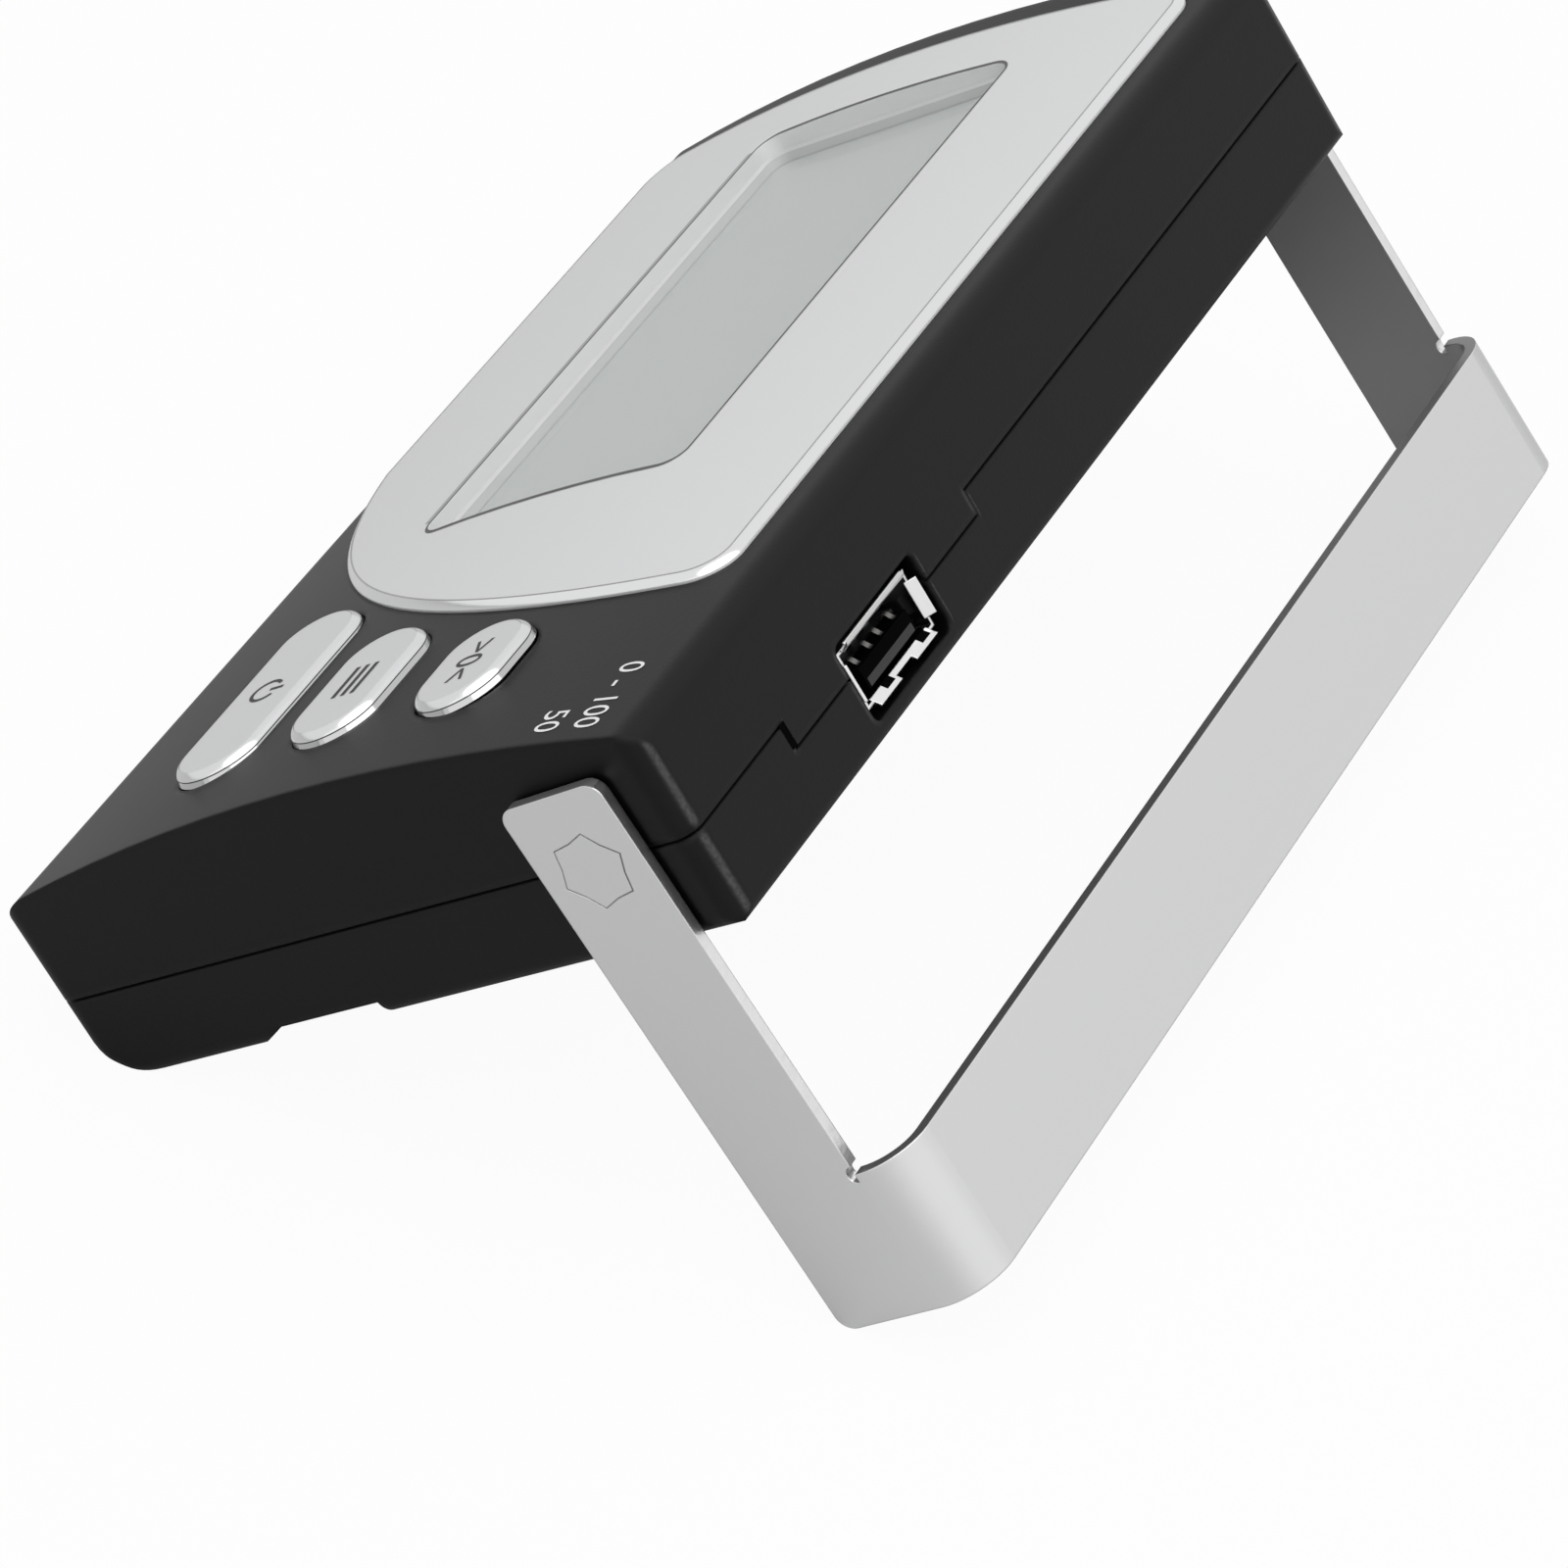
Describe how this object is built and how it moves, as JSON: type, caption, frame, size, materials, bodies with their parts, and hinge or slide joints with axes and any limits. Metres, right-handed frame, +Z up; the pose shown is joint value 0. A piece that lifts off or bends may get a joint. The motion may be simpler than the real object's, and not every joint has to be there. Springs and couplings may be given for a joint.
{
  "type": "scale display terminal",
  "caption": "Black display terminal of a platform scale with a silver bezel, three keys and a USB socket, on a folding steel stand",
  "frame": {"origin": "On the floor, below the middle of the whole part with its stand open", "axes": "+X runs in reading direction along the case, +Y to the back, towards the socket and the crossbar, +Z up"},
  "size_m": [0.1322, 0.094, 0.0538],
  "materials": {
    "case_black": "fine satin texture",
    "bezel_silver": "satin silver paint",
    "window_clear": "clear",
    "foam_black": "matte",
    "lcd_grey": "grey, blank",
    "holder_white": "matte",
    "board_green": "satin",
    "chip_black": "matte",
    "key_silver": "satin silver paint",
    "socket_steel": "bright",
    "contact_brass": "gold plated",
    "stand_steel": "satin plate"
  },
  "bodies": {
    "terminal": {"front_shell": "case_black", "rear_shell": "case_black", "display_bezel": "bezel_silver", "display_window": "window_clear", "window_gasket": "foam_black", "lcd_glass": "lcd_grey", "lcd_holder": "holder_white", "backlight_panel": "holder_white", "upper_contact_strip": "foam_black", "lower_contact_strip": "foam_black", "main_board": "board_green", "controller_chip": "chip_black", "board_components": "chip_black", "tare_switch": "chip_black", "mode_switch": "chip_black", "power_switch": "chip_black", "usb_shell": "socket_steel", "usb_insert": "chip_black", "usb_contacts": "contact_brass", "board_screws": "socket_steel", "case_screws": "socket_steel", "right_washer": "socket_steel", "left_washer": "socket_steel"},
    "stand": {"stand_bracket": "stand_steel", "right_pivot_pin": "stand_steel", "left_pivot_pin": "stand_steel"},
    "tare_key": {"tare_button": "key_silver"},
    "mode_key": {"mode_button": "key_silver"},
    "power_key": {"power_button": "key_silver"}
  },
  "joints": [
    {"name": "stand_hinge", "type": "hinge", "parent": "terminal", "child": "stand", "pos_m": [0, 0.0105, 0.04064], "axis": [1, 0, 0], "range_deg": [-89, 88]},
    {"name": "tare_key_press", "type": "slide", "parent": "terminal", "child": "tare_key", "axis": [0, 0.5627, -0.8267], "range_m": [0, 0.0006], "stiffness_N_per_m": 300},
    {"name": "mode_key_press", "type": "slide", "parent": "terminal", "child": "mode_key", "axis": [0, 0.5627, -0.8267], "range_m": [0, 0.0006], "stiffness_N_per_m": 300},
    {"name": "power_key_press", "type": "slide", "parent": "terminal", "child": "power_key", "axis": [0, 0.5627, -0.8267], "range_m": [0, 0.0006], "stiffness_N_per_m": 300}
  ]
}
